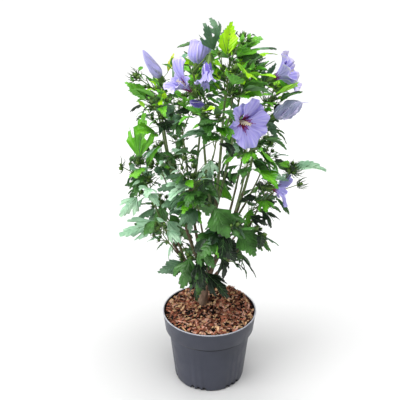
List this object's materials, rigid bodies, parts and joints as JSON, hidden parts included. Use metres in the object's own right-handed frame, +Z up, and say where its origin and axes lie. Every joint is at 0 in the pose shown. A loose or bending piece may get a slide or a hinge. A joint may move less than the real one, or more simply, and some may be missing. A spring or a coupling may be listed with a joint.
{
  "type": "potted hibiscus shrub",
  "caption": "Upright leafy shrub with open funnel flowers, on a short woody trunk that forks into slender boughs, growing in a round plastic nursery pot topped with bark mulch.",
  "frame": {"origin": "centre of the pot's flat underside, on the surface the pot stands on", "axes": "+Z up along the plant, -Y towards its best side, +X to the right seen from there"},
  "size_m": [0.3858, 0.3135, 0.7338],
  "materials": {
    "pot": "satin slate-grey injection-moulded polypropylene",
    "mulch": "loose bark chips, reddish brown, rough",
    "bark": "thin grey-brown bark with fine ridges",
    "foliage": "satin green leaves",
    "blossom": "soft lilac-blue petals"
  },
  "bodies": {
    "root": {"pot": "pot", "mulch": "mulch", "trunk": "bark", "bough_centre_left": "bark", "bough_centre_mid": "bark", "bough_front_mid": "bark", "bough_front_right": "bark", "bough_front_upper": "bark", "bough_leader": "bark", "bough_left_inner": "bark", "bough_left_low": "bark", "bough_left_mid": "bark", "bough_left_rear": "bark", "bough_left_side": "bark", "bough_left_tall": "bark", "bough_left_upper": "bark", "bough_rear_left": "bark", "bough_rear_mid": "bark", "bough_rear_right": "bark", "bough_rear_tall": "bark", "bough_rear_upper": "bark", "bough_right_low": "bark", "bough_right_mid": "bark", "bough_right_rear": "bark", "bough_right_side": "bark", "bough_right_tall": "bark", "bough_skirt_front": "bark", "bough_skirt_left": "bark", "bough_skirt_rear": "bark", "bough_skirt_right": "bark", "bough_top_front": "bark", "foliage_centre_left": "foliage", "foliage_centre_mid": "foliage", "foliage_front_mid": "foliage", "foliage_front_right": "foliage", "foliage_front_upper": "foliage", "foliage_leader": "foliage", "foliage_left_inner": "foliage", "foliage_left_low": "foliage", "foliage_left_mid": "foliage", "foliage_left_rear": "foliage", "foliage_left_side": "foliage", "foliage_left_tall": "foliage", "foliage_left_upper": "foliage", "foliage_rear_left": "foliage", "foliage_rear_mid": "foliage", "foliage_rear_right": "foliage", "foliage_rear_tall": "foliage", "foliage_rear_upper": "foliage", "foliage_right_low": "foliage", "foliage_right_mid": "foliage", "foliage_right_rear": "foliage", "foliage_right_side": "foliage", "foliage_right_tall": "foliage", "foliage_skirt_front": "foliage", "foliage_skirt_left": "foliage", "foliage_skirt_rear": "foliage", "foliage_skirt_right": "foliage", "foliage_top_front": "foliage"}
  },
  "joints": []
}
